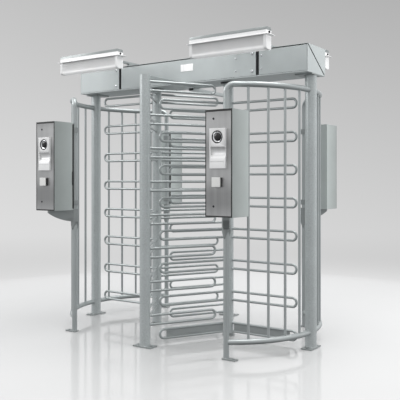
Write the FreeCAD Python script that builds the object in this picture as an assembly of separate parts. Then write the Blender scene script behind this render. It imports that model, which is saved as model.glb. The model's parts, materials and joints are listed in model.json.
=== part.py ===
import FreeCAD, Part
import math
import os

# Visitor counter turnstile: two full-height rotors side by side under one beam, each in a
# half-round guide cage, with two comb posts between them.
# Millimetres. Origin on the floor at the centre. +X runs along the beam, +Y to the rear, +Z up.

# ---- driving dimensions: layout ----
ROTOR_X = 380.0              # each rotor axis stands this far from the middle
CAGE_R = 745.0               # centreline radius of a guide cage, about its rotor axis
CAGE_HALF_ANGLE = 59.2       # a cage spans this much each side of the outward direction
COMB_X = 50.0                # the front comb post stands here, and the rear one opposite it
COMB_Y = 691.0
COMB_AIM = 60.4              # direction of the front comb, in degrees from +X
PASSAGE_H = 2100.0           # underside of the beam
LEVELS = 8                   # hairpins up each wing and each comb
LEVEL_PITCH = 260.0
LEVEL_HIGH = 201.0           # lowest hairpin of the left rotor and the front comb
LEVEL_LOW = 71.0             # lowest hairpin of the right rotor and the rear comb

# ---- tubes ----
COLUMN_R = 41.25
COLUMN_WALL = 4.0
SUPPORT_R = 44.45
COMB_POST_R = 41.25
GUIDE_R = 21.2
BAR_R = 10.0
HAIRPIN_R = 10.0             # outside radius of the hairpin tube
HAIRPIN_GAP = 70.0           # between the two centrelines of a hairpin
WING_REACH = 628.0           # rotor axis to the outermost point of a wing
COMB_REACH = 619.0           # comb post axis to the tip of its hairpins
GUIDE_BEND_R = 55.0
TOP_RAIL_Z = 1980.0
TIE_ARM_W = 50.0
TIE_ARM_T = 26.0             # thin enough to clear the highest hairpins
TIE_ARM_LAP = 90.0           # how far the tie arm runs under the beam
LOW_RAIL_Z = 125.0
BAR_ANGLES = (12.5, 24.0, 35.1, 46.9)
WING_ANGLES_RIGHT = (1.0, 121.0, 241.0)
WING_ANGLES_LEFT = (181.0, 301.0, 61.0)
KICK_PLATE_ROOT = 12.0       # gap between the kick plate and the column
KICK_PLATE_END = 66.0        # the plate stops this far inside the tip of the wing
POST_CAP_RISE = 10.0         # crown of the cap that closes a comb post, above the passage height
POST_RISE = 4.0
POST_CAP_T = 6.0
HEAD_HALF_Y = 80.0           # the plate between a support post and the beam

# ---- rotor shaft, bearings and damper drive ----
COLUMN_FOOT_Z = 22.0
COLUMN_TOP_Z = 2090.0
SHAFT_R = 20.0
SHAFT_TOP_Z = 2190.0
PIVOT_R = 15.0
PIVOT_TOP_Z = 75.0
RUNNING_GAP = 0.05           # radial clearance of a shaft in its bearing
FLOOR_BEARING_R = 52.0
FLOOR_BEARING_T = 12.0
FLOOR_BOSS_R = 33.0
END_PLAY = 1.0               # between a column and the bearings at its two ends
BEARING_COLLAR_R = 67.0
BEARING_NECK_R = 34.0        # hole in the beam's floor for the bearing
BEARING_HOUSING_H = 36.0
GEAR_MODULE = 3.0
PRESSURE_ANGLE = math.radians(20.0)
DEDENDUM = 1.25              # root depth of a tooth, in modules
INDEX_TEETH = 72
PINION_TEETH = 18
GEAR_Z = 2150.0
GEAR_T = 14.0
DAMPER_R = 26.0
DAMPER_SHAFT_R = 6.0
DAMPER_GAP = 4.0             # between the damper body and the pinion, and under the shaft
BACKLASH = 0.25

# ---- beam ----
BEAM_HALF_X = 1172.0
BEAM_HALF_Y = 158.0
BEAM_H = 212.0
BEAM_FLOOR_T = 8.0
SHEET = 3.0
PARTING_GAP = 11.0           # dark slit between the tray and the hood at the beam's ends
COVER_GAP = 28.0
COVER_GAP_XS = (-678.0, 744.0)
COVER_EDGE = 2.0
COVER_TOP_SLIT = 8.0         # dark line between the covers and the hood
CLEAT_DEPTH = 30.0
CLEAT_LIP = 60.0
RIB_XS = (-900.0, -120.0, 120.0, 960.0)
RIB_T = 4.0
RIB_HOLE_R = 70.0
RIB_HOLE_Y = 20.0
CONTROLLER_HALF = 90.0
NAMEPLATE = (128.0, 60.0, 2.0)
NAMEPLATE_X = 66.0
NAMEPLATE_Z = 2232.0
BOLT_BIG_DX = 47.0           # large heads, to the left of each gap
BOLT_BIG_ZS = (43.0, 182.0)  # heights above the beam's underside
BOLT_SMALL_DX = 38.0         # small heads, to the right of the right gap
BOLT_SMALL_X = 547.0
BOLT_SMALL_ZS = (57.0, 157.0)
BOLT_BIG_R = 11.0
BOLT_SMALL_R = 7.0
BOLT_HEAD_T = 6.0

# ---- lamps ----
LAMP_X = 702.0
LAMP_Y = 509.0
LAMP_L = 715.0
LAMP_FLANGE_W = 98.0
LAMP_FLANGE_Z = 2323.0
LAMP_FLANGE_T = 4.0
LAMP_TOP_Z = 2380.0
LAMP_LOW_Z = 2220.0
LAMP_TOP_W = 66.0
LAMP_SHELL = 3.0
LAMP_CHAMFER = 24.0
LAMP_TUBE_R = 8.0
LAMP_TUBE_DROP = 22.0
LAMP_HOLDER_HALF = 9.0
LAMP_END_IN = 22.0           # diffuser and housing stop this far inside the flange's ends
LAMP_SIDE_IN = 12.0
ARM_XS = (584.0, 820.0)
ARM_W = 30.0
ARM_T = 18.0

# ---- base plates ----
PLATE_T = 10.0
PLATE_LONG = 170.0
PLATE_SHORT = 90.0
SLOT_W = 14.0
SLOT_L = 26.0
SLOT_OUT = 63.0              # slot centre to post axis
GUIDE_PLATE = (112.0, 46.0)

# ---- readers ----
READER_X = (745.0, 965.0)
READER_Y = (670.0, 885.0)
READER_Z = (1035.0, 1773.0)
READER_WALL = 3.0
READER_FACE_T = 3.0
READER_SEAM = 4.5            # slit between the faceplate and the housing
MODULE_W = 128.0
MODULE_H = 273.0
MODULE_PROUD = 18.0
MODULE_MID = (109.0, 469.0)  # from the faceplate's lower left corner
MODULE_ROUND = 3.0
MODULE_NECK_IN = 8.5         # the module's body behind the faceplate is this much smaller
MODULE_NECK_D = 46.0
LENS_R = 44.5
LENS_SEAT = 8.0
LENS_GLASS_R = 30.5
LENS_DOME_R = 60.0
LENS_CLEAR = 0.3
SCOOP_R = 60.0               # the rounded recess below the lens
SCOOP_LEFT_IN = 10.0
SCOOP_OUT = 46.0
SCOOP_DOWN = 26.0
SLOT_EDGE_IN = 6.0           # the ticket slot under the scoop
SLOT_DEPTH = 3.0
SLOT_DOWN = (96.0, 88.0)
LENS_UP = 78.0               # lens centre above the module's centre
BUTTON_W = 68.0
BUTTON_H = 66.0
BUTTON_MID = (102.0, 240.0)
BUTTON_PROUD = 25.0
BUTTON_CAP_T = 8.0
BUTTON_TRAVEL = 4.0
BUTTON_CLEAR = 0.5
BUTTON_ROUND = 2.0
BUTTON_STEM_HALF = 16.0
BUTTON_STEM_D = 18.0
BEZEL_IN = 1.0
BEZEL_NECK_IN = 11.5
BEZEL_NECK_D = 30.0
BEZEL_ROOM_D = 24.0
MODULE_LAP = 8.0             # the faceplate reaches this far behind the module and the bezel
BEZEL_LAP = 12.0
LEDGE = 14.0
SCREW_MIDS = ((68.0, 674.0), (68.0, 74.0))
SCREW_R = 5.0
SCREW_HEAD_R = 8.0
SCREW_HEAD_T = 3.0
BRACKET_T = 4.0
COLLAR_T = 10.0
SPINE_T = 7.0
SPINE_W = 60.0
GUSSET_W = 44.0
GUSSET_REACH = 224.0
GUSSET_AIM = -58.0           # direction of the gusset from the post, in degrees from +X
GUSSET_BULGE = (0.55, 0.28)  # a point of its curved lower edge, along and up
GUSSET_ROOT = 97.0           # depth of the gusset below the reader, at the post and at its tip
GUSSET_TIP = 22.0
SADDLE_POINT = 70.0

# ---- modelling ----
THROUGH = 1.0                # how far a cutting shape stands past the face it cuts
NEAR = 0.1                   # an edge this close to a plane lies in it
SAME_POINT = 1e-6
FLANK_STEPS = 4              # straight pieces along the flank of a gear tooth


# ---- helpers ----
def vec(x, y, z):
    return FreeCAD.Vector(x, y, z)


UP = vec(0, 0, 1)
CENTRE = vec(0, 0, 0)


def block(x0, x1, y0, y1, z0, z1):
    return Part.makeBox(x1 - x0, y1 - y0, z1 - z0, vec(x0, y0, z0))


def rod(x, y, z0, z1, radius):
    return Part.makeCylinder(radius, z1 - z0, vec(x, y, z0))


def rod_y(x, z, y0, y1, radius):
    return Part.makeCylinder(radius, y1 - y0, vec(x, y0, z), vec(0, 1, 0))


def tube(x, y, z0, z1, radius, wall):
    return rod(x, y, z0, z1, radius).cut(rod(x, y, z0, z1, radius - wall))


def moved(shape, x=0.0, y=0.0, z=0.0):
    copy = shape.copy()
    copy.translate(vec(x, y, z))
    return copy


def turned(shape, degrees, x=0.0, y=0.0):
    copy = shape.copy()
    copy.rotate(vec(x, y, 0), UP, degrees)
    return copy


def opposite(shape):
    """The same piece on the other side: the whole layout repeats after half a turn."""
    return turned(shape, 180.0)


def four_ways(shape):
    """A piece made in the front right quarter, in all four quarters, as a name and a shape."""
    front_left = shape.mirror(CENTRE, vec(1, 0, 0))
    return (
        ("front_right", shape),
        ("front_left", front_left),
        ("rear_left", opposite(shape)),
        ("rear_right", opposite(front_left)),
    )


def polar(radius, degrees, z=0.0, x=0.0):
    angle = math.radians(degrees)
    return vec(x + radius * math.cos(angle), radius * math.sin(angle), z)


def prism(points, direction):
    """A flat outline of straight sides, pushed along a direction."""
    return Part.Face(Part.makePolygon(points + points[:1])).extrude(direction)


def swept(edges, radius):
    """A round bar along a path of tangent lines and arcs."""
    path = Part.Wire(edges)
    start = edges[0].valueAt(edges[0].FirstParameter)
    tangent = edges[0].tangentAt(edges[0].FirstParameter)
    ring = Part.Wire([Part.makeCircle(radius, start, tangent)])
    return path.makePipeShell([ring], True, False)


def group(shapes):
    """Separate solids in one node."""
    return Part.makeCompound([solid for shape in shapes for solid in shape.Solids])


def save(name, shape):
    shape.exportStep("parts/" + name + ".step")


# ---- hairpins ----
def hairpin(inner, reach):
    """A U of round tube lying along +X, its two legs one above the other, its bend outwards."""
    half = HAIRPIN_GAP / 2
    bend_x = reach - HAIRPIN_R - half
    top_leg = Part.LineSegment(vec(inner, 0, half), vec(bend_x, 0, half)).toShape()
    bend = Part.Arc(vec(bend_x, 0, half), vec(bend_x + half, 0, 0), vec(bend_x, 0, -half)).toShape()
    low_leg = Part.LineSegment(vec(bend_x, 0, -half), vec(inner, 0, -half)).toShape()
    return swept([top_leg, bend, low_leg], HAIRPIN_R)


def notched_hairpin(post_radius, reach):
    """A hairpin whose open ends are notched to sit on an upright tube at the origin."""
    rough = hairpin(post_radius / 2, reach)
    return rough.cut(rod(0, 0, -HAIRPIN_GAP, HAIRPIN_GAP, post_radius))


def stacked(shape, lowest):
    return [moved(shape, z=lowest + level * LEVEL_PITCH) for level in range(LEVELS)]


# ---- rotors ----
def rotor_column():
    """Tube closed at both ends, with the drive shaft above and a socket for the floor pivot."""
    wall_r = COLUMN_R - COLUMN_WALL
    body = rod(0, 0, COLUMN_FOOT_Z, COLUMN_TOP_Z, COLUMN_R)
    hollow = rod(0, 0, PIVOT_TOP_Z + 2 * PLATE_T, COLUMN_TOP_Z - 2 * PLATE_T, wall_r)
    socket = rod(0, 0, COLUMN_FOOT_Z, PIVOT_TOP_Z + PLATE_T, PIVOT_R + RUNNING_GAP)
    shaft = rod(0, 0, COLUMN_TOP_Z, SHAFT_TOP_Z, SHAFT_R)
    return body.cut(hollow).cut(socket).fuse(shaft).removeSplitter()


def kick_plate(wing_hairpin):
    """Sheet that fills the lowest hairpin of a wing, between its two legs."""
    half = HAIRPIN_GAP / 2
    end = WING_REACH - KICK_PLATE_END
    sheet = block(COLUMN_R + KICK_PLATE_ROOT, end, -SHEET, SHEET, -half, half)
    return sheet.cut(wing_hairpin)


def involute_gear(teeth, bore_r, backlash):
    """Spur gear with involute flanks, centred on Z, one tooth pointing along +X."""
    pitch_r = GEAR_MODULE * teeth / 2
    base_r = pitch_r * math.cos(PRESSURE_ANGLE)
    tip_r = pitch_r + GEAR_MODULE
    root_r = pitch_r - DEDENDUM * GEAR_MODULE

    def involute_angle(radius):
        if radius <= base_r:
            return 0.0
        roll = math.acos(base_r / radius)
        return math.tan(roll) - roll

    half_tooth = math.pi / (2 * teeth) - backlash / (2 * pitch_r) + involute_angle(pitch_r)
    start_r = max(root_r, base_r)
    step_r = (tip_r - start_r) / FLANK_STEPS
    flank_radii = [start_r + step_r * step for step in range(FLANK_STEPS + 1)]
    points = []
    for tooth in range(teeth):
        middle = 2 * math.pi * tooth / teeth
        rising = [(r, middle - half_tooth + involute_angle(r)) for r in flank_radii]
        falling = [(r, 2 * middle - angle) for r, angle in reversed(rising)]
        root_in = (root_r, middle - half_tooth)
        root_out = (root_r, middle + half_tooth)
        for radius, angle in [root_in] + rising + falling + [root_out]:
            point = vec(radius * math.cos(angle), radius * math.sin(angle), GEAR_Z)
            if not points or (point - points[-1]).Length > SAME_POINT:
                points.append(point)
    blank = prism(points, vec(0, 0, GEAR_T))
    return blank.cut(rod(0, 0, GEAR_Z, GEAR_Z + GEAR_T, bore_r))


def pinion_offset():
    return GEAR_MODULE * (INDEX_TEETH + PINION_TEETH) / 2


def make_rotor(side, axis_x, angles, lowest, pin):
    save("column_" + side, moved(rotor_column(), axis_x))
    for number, angle in enumerate(angles, 1):
        wing = turned(group(stacked(pin, lowest)), angle)
        save("wing_" + side + "_" + str(number), moved(wing, axis_x))
    gear = involute_gear(INDEX_TEETH, SHAFT_R, BACKLASH)
    save("index_gear_" + side, moved(gear, axis_x))


def make_rotors():
    pin = notched_hairpin(COLUMN_R, WING_REACH)
    make_rotor("left", -ROTOR_X, WING_ANGLES_LEFT, LEVEL_HIGH, pin)
    make_rotor("right", ROTOR_X, WING_ANGLES_RIGHT, LEVEL_LOW, pin)
    plate = moved(kick_plate(pin), z=LEVEL_LOW)
    plates = [moved(turned(plate, angle), ROTOR_X) for angle in WING_ANGLES_RIGHT]
    save("kick_plates_right", group(plates))


def make_dampers():
    """A rotary damper beside each shaft slows its rotor through a pinion."""
    pinion = involute_gear(PINION_TEETH, DAMPER_SHAFT_R, BACKLASH)
    meshed = turned(pinion, 180.0 / PINION_TEETH)
    floor_top = PASSAGE_H + BEAM_FLOOR_T
    shaft = rod(0, 0, floor_top + DAMPER_GAP, GEAR_Z + GEAR_T + DAMPER_GAP, DAMPER_SHAFT_R)
    rotating = meshed.fuse(shaft)
    offset = pinion_offset()
    save("damper_pinion_left", moved(turned(rotating, 180.0), offset - ROTOR_X))
    save("damper_pinion_right", moved(rotating, ROTOR_X - offset))
    body = rod(0, 0, floor_top, GEAR_Z - DAMPER_GAP, DAMPER_R)
    socket = rod(0, 0, floor_top + DAMPER_GAP - END_PLAY, GEAR_Z, DAMPER_SHAFT_R + RUNNING_GAP)
    damper = body.cut(socket)
    places = (offset - ROTOR_X, ROTOR_X - offset)
    save("damper_units", group([moved(damper, place) for place in places]))


def floor_bearing():
    flange = rod(0, 0, 0, FLOOR_BEARING_T, FLOOR_BEARING_R)
    boss = rod(0, 0, FLOOR_BEARING_T, COLUMN_FOOT_Z - END_PLAY, FLOOR_BOSS_R)
    pivot = rod(0, 0, COLUMN_FOOT_Z - END_PLAY, PIVOT_TOP_Z, PIVOT_R)
    return flange.fuse(boss).fuse(pivot).removeSplitter()


def beam_bearing():
    """Bearing for the shaft: a dark collar under the beam and a housing above its floor."""
    floor_top = PASSAGE_H + BEAM_FLOOR_T
    collar = rod(0, 0, COLUMN_TOP_Z + END_PLAY, PASSAGE_H, BEARING_COLLAR_R)
    neck = rod(0, 0, PASSAGE_H, floor_top, BEARING_NECK_R)
    housing = rod(0, 0, floor_top, PASSAGE_H + BEARING_HOUSING_H, BEARING_COLLAR_R)
    bore = rod(0, 0, COLUMN_TOP_Z, SHAFT_TOP_Z, SHAFT_R + RUNNING_GAP)
    return collar.fuse(neck).fuse(housing).cut(bore).removeSplitter()


def make_bearings():
    for name, bearing in (("floor_bearings", floor_bearing()), ("beam_bearings", beam_bearing())):
        save(name, group([moved(bearing, -ROTOR_X), moved(bearing, ROTOR_X)]))


# ---- posts, combs and cages ----
def slot_hole(x, y, along_x):
    half = SLOT_L / 2 - SLOT_W / 2
    dx, dy = (half, 0.0) if along_x else (0.0, half)
    wide, low, high = SLOT_W / 2, -THROUGH, PLATE_T + THROUGH
    if along_x:
        hole = block(x - dx, x + dx, y - wide, y + wide, low, high)
    else:
        hole = block(x - wide, x + wide, y - dy, y + dy, low, high)
    for sign in (-1, 1):
        hole = hole.fuse(rod(x + sign * dx, y + sign * dy, low, high, wide))
    return hole


def base_plate(x, y, along_x):
    """Plate under a post, longer one way, with a slotted hole near each end."""
    half_x, half_y = PLATE_SHORT / 2, PLATE_LONG / 2
    step_x, step_y = 0.0, SLOT_OUT
    if along_x:
        half_x, half_y = half_y, half_x
        step_x, step_y = SLOT_OUT, 0.0
    plate = block(x - half_x, x + half_x, y - half_y, y + half_y, 0, PLATE_T)
    for sign in (-1, 1):
        plate = plate.cut(slot_hole(x + sign * step_x, y + sign * step_y, along_x))
    return plate


def make_supports():
    x = ROTOR_X + CAGE_R
    post = tube(x, 0, PLATE_T, PASSAGE_H - PLATE_T, SUPPORT_R, COLUMN_WALL)
    save("support_post_right", post)
    save("support_post_left", opposite(post))
    head_x = BEAM_HALF_X - x
    head = block(x - 2 * head_x, x + head_x, -HEAD_HALF_Y, HEAD_HALF_Y,
                 PASSAGE_H - PLATE_T, PASSAGE_H)
    save("support_top_flanges", group([head, opposite(head)]))


def comb_post():
    """Upright tube with a shallow domed cap."""
    top = PASSAGE_H + POST_RISE
    post = tube(COMB_X, -COMB_Y, PLATE_T, top, COMB_POST_R, COLUMN_WALL)
    dome_r = COMB_POST_R * 2
    dome = Part.makeSphere(dome_r, vec(COMB_X, -COMB_Y, PASSAGE_H + POST_CAP_RISE - dome_r))
    cap = dome.common(rod(COMB_X, -COMB_Y, top - POST_CAP_T, top + POST_CAP_RISE, COMB_POST_R))
    return post.fuse(cap).removeSplitter()


def comb_tie_arm():
    """Square tube from the head of a comb post back under the beam."""
    left, right = COMB_X - TIE_ARM_W / 2, COMB_X + TIE_ARM_W / 2
    end = -BEAM_HALF_Y + TIE_ARM_LAP
    low = PASSAGE_H - TIE_ARM_T
    arm = block(left, right, -COMB_Y, end, low, PASSAGE_H)
    arm = arm.cut(block(left + COLUMN_WALL, right - COLUMN_WALL, -COMB_Y, end,
                        low + COLUMN_WALL, PASSAGE_H - COLUMN_WALL))
    arm = arm.cut(rod(COMB_X, -COMB_Y, 0, PASSAGE_H + POST_CAP_RISE, COMB_POST_R))
    return max(arm.Solids, key=lambda solid: solid.Volume)


def make_combs():
    """An upright post in front and behind, whose hairpins reach between a rotor's wings."""
    post = comb_post()
    save("comb_post_front", post)
    save("comb_post_rear", opposite(post))
    pin = notched_hairpin(COMB_POST_R, COMB_REACH)
    front = moved(turned(group(stacked(pin, LEVEL_HIGH)), COMB_AIM), COMB_X, -COMB_Y)
    rear = moved(turned(group(stacked(pin, LEVEL_LOW)), COMB_AIM), COMB_X, -COMB_Y)
    save("comb_hairpins_front", front)
    save("comb_hairpins_rear", opposite(rear))
    arm = comb_tie_arm()
    save("comb_tie_arms", group([arm, opposite(arm)]))


def rail_angle():
    """Where the top rail's circle ends and its bend down into the end post begins."""
    return CAGE_HALF_ANGLE - math.degrees(math.atan2(GUIDE_BEND_R, CAGE_R))


def guide_post_place():
    """Axis of the end post of the front right cage quarter."""
    angle = rail_angle()
    end = polar(CAGE_R, -angle, x=ROTOR_X)
    along = vec(-math.sin(math.radians(angle)), -math.cos(math.radians(angle)), 0)
    return end + along * GUIDE_BEND_R, along


def rail_arc(z, first, last):
    middle = (first + last) / 2
    ends = [polar(CAGE_R, angle, z, ROTOR_X) for angle in (first, middle, last)]
    return Part.Arc(*ends).toShape()


def guide_frame(support):
    """End post of a cage, bent over at the top into the quarter-round top rail."""
    place, along = guide_post_place()
    foot = place + vec(0, 0, PLATE_T)
    bend_start = place + vec(0, 0, TOP_RAIL_Z - GUIDE_BEND_R)
    bend_end = place - along * GUIDE_BEND_R + vec(0, 0, TOP_RAIL_Z)
    hub = place - along * GUIDE_BEND_R + vec(0, 0, TOP_RAIL_Z - GUIDE_BEND_R)
    half = math.sqrt(0.5) * GUIDE_BEND_R
    bend_mid = hub + along * half + vec(0, 0, half)
    upright = Part.LineSegment(foot, bend_start).toShape()
    bend = Part.Arc(bend_start, bend_mid, bend_end).toShape()
    rail = rail_arc(TOP_RAIL_Z, -rail_angle(), 0.0)
    return swept([upright, bend, rail], GUIDE_R).cut(support)


def guide_foot():
    place, _ = guide_post_place()
    length, width = GUIDE_PLATE
    x0 = place.x - GUIDE_R - COLUMN_WALL
    plate = block(x0, x0 + length, place.y - width / 2, place.y + width / 2, 0, PLATE_T)
    return plate.cut(slot_hole(x0 + length - SLOT_L, place.y, along_x=True))


def make_base_plates():
    """One welded plate under each of the eight posts, with slots for the floor anchors."""
    support_foot = base_plate(ROTOR_X + CAGE_R, 0, along_x=False)
    comb_foot = base_plate(COMB_X, -COMB_Y, along_x=True)
    plates = [support_foot, opposite(support_foot), comb_foot, opposite(comb_foot)]
    plates += [shape for _, shape in four_ways(guide_foot())]
    save("base_plates", group(plates))


def make_cages():
    support = rod(ROTOR_X + CAGE_R, 0, 0, PASSAGE_H, SUPPORT_R)
    frame = guide_frame(support)
    low_rail = swept([rail_arc(LOW_RAIL_Z, -CAGE_HALF_ANGLE, 0.0)], GUIDE_R)
    low_rail = low_rail.cut(support).cut(frame)
    low_rail = max(low_rail.Solids, key=lambda solid: solid.Volume)
    rails = frame.fuse(low_rail)
    bars = []
    for angle in BAR_ANGLES:
        spot = polar(CAGE_R, -angle, x=ROTOR_X)
        bar = rod(spot.x, spot.y, LOW_RAIL_Z, TOP_RAIL_Z, BAR_R).cut(rails)
        bars.append(max(bar.Solids, key=lambda solid: solid.Volume))
    for quarter, shape in four_ways(frame):
        save("guide_frame_" + quarter, shape)
    low_rails = dict(four_ways(low_rail))
    cage_bars = dict(four_ways(group(bars)))
    for side in ("left", "right"):
        ends = ("front_" + side, "rear_" + side)
        save("guide_low_rails_" + side, group([low_rails[end] for end in ends]))
        save("guide_bars_" + side, group([cage_bars[end] for end in ends]))


# ---- beam ----
def end_triangle(corners, inward):
    """Sheet end of the tray or the hood at the beam's right end."""
    outline = [vec(BEAM_HALF_X, y, z) for y, z in corners]
    return prism(outline, vec(-inward, 0, 0))


def make_beam_shell():
    """Tray below and hood above, parted along a diagonal that shows at the beam's ends."""
    front, rear = -BEAM_HALF_Y, BEAM_HALF_Y
    low, high = PASSAGE_H, PASSAGE_H + BEAM_H
    floor_top = low + BEAM_FLOOR_T
    diagonal = math.hypot(2 * BEAM_HALF_Y, BEAM_H)
    slit_y = PARTING_GAP / 2 * diagonal / BEAM_H
    slit_z = PARTING_GAP / 2 * diagonal / (2 * BEAM_HALF_Y)
    floor_y = rear - BEAM_FLOOR_T * 2 * BEAM_HALF_Y / BEAM_H
    tray_end = [(front, floor_top), (front, high - slit_z), (floor_y - slit_y, floor_top)]
    hood_end = [(front + slit_y, high), (rear, high), (rear, floor_top),
                (floor_y + slit_y, floor_top)]

    tray = block(-BEAM_HALF_X, BEAM_HALF_X, front, rear, low, floor_top)
    hood = block(-BEAM_HALF_X, BEAM_HALF_X, front, rear, high - SHEET, high)
    hood = hood.fuse(block(-BEAM_HALF_X, BEAM_HALF_X, rear - SHEET, rear, floor_top, high))
    slit = end_triangle([(front, high), (front, high - 2 * slit_z), (front + 2 * slit_y, high)], SHEET)
    hood = hood.cut(slit)
    hood = hood.cut(slit.mirror(CENTRE, vec(1, 0, 0)))
    for mirrored in (False, True):
        ends = [end_triangle(corners, SHEET) for corners in (tray_end, hood_end)]
        if mirrored:
            ends = [end.mirror(CENTRE, vec(1, 0, 0)) for end in ends]
        tray = tray.fuse(ends[0])
        hood = hood.fuse(ends[1])
    for x in (-ROTOR_X, ROTOR_X):
        tray = tray.cut(rod(x, 0, low, floor_top, BEARING_NECK_R))
    save("beam_tray", tray.removeSplitter())
    save("beam_hood", hood.removeSplitter())


def cover_spans():
    """Left and right edges of the three front covers."""
    edge = BEAM_HALF_X - SHEET - COVER_EDGE
    left_gap, right_gap = COVER_GAP_XS
    half = COVER_GAP / 2
    return (
        ("left", -edge, left_gap - half),
        ("centre", left_gap + half, right_gap - half),
        ("right", right_gap + half, edge),
    )


def cover_z():
    low = PASSAGE_H + BEAM_FLOOR_T + COVER_EDGE
    high = PASSAGE_H + BEAM_H - SHEET - COVER_TOP_SLIT
    return low, high


def make_beam_covers():
    low, high = cover_z()
    for name, x0, x1 in cover_spans():
        cover = block(x0, x1, -BEAM_HALF_Y, -BEAM_HALF_Y + SHEET, low, high)
        save("beam_cover_" + name, cover)
    wide, tall, thick = NAMEPLATE
    plate = block(-wide / 2, wide / 2, -BEAM_HALF_Y - thick, -BEAM_HALF_Y, -tall / 2, tall / 2)
    save("nameplate_blank", moved(plate, x=NAMEPLATE_X, z=NAMEPLATE_Z))


def cleat():
    """Hat-shaped upright behind the gap between two covers, which screw to its lips."""
    face = -BEAM_HALF_Y + SHEET
    half, lip = COVER_GAP / 2, CLEAT_LIP / 2 + COVER_GAP / 2
    low, high = PASSAGE_H + BEAM_FLOOR_T, PASSAGE_H + BEAM_H - SHEET
    solid = block(-lip, lip, face, face + SHEET, low, high)
    solid = solid.fuse(block(-half - SHEET, half + SHEET, face, face + CLEAT_DEPTH, low, high))
    return solid.cut(block(-half, half, face, face + CLEAT_DEPTH - SHEET, low, high))


def beam_rib():
    """Stiffening plate across the inside of the beam, with a large hole for the cables."""
    low, high = PASSAGE_H + BEAM_FLOOR_T, PASSAGE_H + BEAM_H - SHEET
    front, rear = -BEAM_HALF_Y + SHEET, BEAM_HALF_Y - SHEET
    rib = block(-RIB_T / 2, RIB_T / 2, front, rear, low, high)
    centre = vec(-RIB_T, RIB_HOLE_Y, (low + high) / 2)
    hole = Part.makeCylinder(RIB_HOLE_R, 2 * RIB_T, centre, vec(1, 0, 0))
    return rib.cut(hole)


def bolt_places():
    """Heads on the beam's front as x, z and radius: large by the gaps, small further in."""
    left_gap, right_gap = COVER_GAP_XS
    big_xs = (left_gap - BOLT_BIG_DX, right_gap - BOLT_BIG_DX)
    small_xs = (BOLT_SMALL_X, right_gap + BOLT_SMALL_DX)
    places = [(x, PASSAGE_H + z, BOLT_BIG_R) for x in big_xs for z in BOLT_BIG_ZS]
    places += [(x, PASSAGE_H + z, BOLT_SMALL_R) for x in small_xs for z in BOLT_SMALL_ZS]
    return places


def button_head(x, z, radius):
    """Low domed screw head on the beam's front face."""
    front = -BEAM_HALF_Y - BOLT_HEAD_T
    disc = rod_y(x, z, front, -BEAM_HALF_Y, radius)
    rim = [edge for edge in disc.Edges if edge.BoundBox.YMax < front + NEAR]
    return disc.makeFillet(BOLT_HEAD_T / 2, rim)


def make_beam_inside():
    stiffeners = [moved(cleat(), x=x) for x in COVER_GAP_XS]
    stiffeners += [moved(beam_rib(), x=x) for x in RIB_XS]
    save("beam_stiffeners", group(stiffeners))
    half, z0 = CONTROLLER_HALF, PASSAGE_H + BEAM_FLOOR_T
    room_half = half - SHEET
    case = block(-half, half, -half, half, z0, z0 + half)
    room = block(-room_half, room_half, -room_half, room_half, z0 + SHEET, z0 + room_half)
    save("controller", case.cut(room))


# ---- lamps ----
def lamp_trough(half_l, wide, narrow, base_z, shoulder_z, end_z):
    """Lamp body along X: full width from its base to the shoulder, then tapering to its end."""
    outline = [(wide, base_z), (wide, shoulder_z), (narrow, end_z)]
    outline += [(-y, z) for y, z in reversed(outline)]
    return prism([vec(-half_l, y, z) for y, z in outline], vec(2 * half_l, 0, 0))


def lamp_housing():
    """Upper part of a lamp: a flange all round and a raised, tapered cover above it."""
    half_l, half_w = LAMP_L / 2, LAMP_FLANGE_W / 2
    base_z, shoulder_z = LAMP_FLANGE_Z + LAMP_FLANGE_T, LAMP_TOP_Z - LAMP_CHAMFER
    flange = block(-half_l, half_l, -half_w, half_w, LAMP_FLANGE_Z, base_z)
    body_l, body_w = half_l - LAMP_END_IN, half_w - LAMP_SIDE_IN
    cover = lamp_trough(body_l, body_w, LAMP_TOP_W / 2, base_z, shoulder_z, LAMP_TOP_Z)
    room = lamp_trough(body_l - LAMP_SHELL, body_w - LAMP_SHELL, LAMP_TOP_W / 2 - LAMP_SHELL,
                       base_z, shoulder_z, LAMP_TOP_Z - LAMP_SHELL)
    return flange.fuse(cover.cut(room)).removeSplitter()


def lamp_diffuser():
    """Clear trough under the flange, open at the top, narrower at the bottom."""
    half_l, wide = LAMP_L / 2 - LAMP_END_IN, LAMP_FLANGE_W / 2 - LAMP_SIDE_IN
    narrow, shoulder_z = wide - LAMP_SIDE_IN, LAMP_LOW_Z + LAMP_CHAMFER
    shell = lamp_trough(half_l, wide, narrow, LAMP_FLANGE_Z, shoulder_z, LAMP_LOW_Z)
    room = lamp_trough(half_l - LAMP_SHELL, wide - LAMP_SHELL, narrow - LAMP_SHELL,
                       LAMP_FLANGE_Z, shoulder_z, LAMP_LOW_Z + LAMP_SHELL)
    return shell.cut(room)


def lamp_tube():
    """Light tube hung under the flange between two end holders."""
    z = LAMP_FLANGE_Z - LAMP_TUBE_DROP
    half = LAMP_L / 2 - 2 * LAMP_END_IN
    holder = LAMP_HOLDER_HALF
    tube_body = Part.makeCylinder(LAMP_TUBE_R, 2 * half, vec(-half, 0, z), vec(1, 0, 0))
    for x in (-half, half):
        end = block(x - holder, x + holder, -holder, holder, z - holder, LAMP_FLANGE_Z)
        tube_body = tube_body.fuse(end)
    return tube_body


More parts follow.
